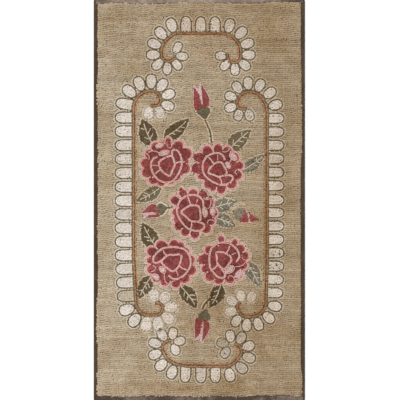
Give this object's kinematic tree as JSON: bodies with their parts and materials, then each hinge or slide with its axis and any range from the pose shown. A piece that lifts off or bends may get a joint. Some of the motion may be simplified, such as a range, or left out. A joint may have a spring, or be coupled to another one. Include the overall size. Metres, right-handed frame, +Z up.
{
  "type": "hooked rug",
  "caption": "Rectangular hand-hooked wool rug lying flat, with roses in a frame of scrolls and scallops, and edges bound in folded tape.",
  "frame": {"origin": "on the floor, under the middle of the rug", "axes": "+Z up out of the pile, +Y along the length towards the end shown at the top, +X across the width"},
  "size_m": [0.762, 1.448, 0.0084],
  "materials": {
    "hooked_wool": "matt wool loop pile",
    "binding_dark": "matt twill tape, dark brown",
    "binding_taupe": "matt twill tape, faded taupe"
  },
  "bodies": {
    "root": {"hooked_field": "hooked_wool", "binding_left": "binding_dark", "binding_right": "binding_dark", "binding_top": "binding_taupe", "binding_bottom": "binding_taupe"}
  },
  "joints": []
}
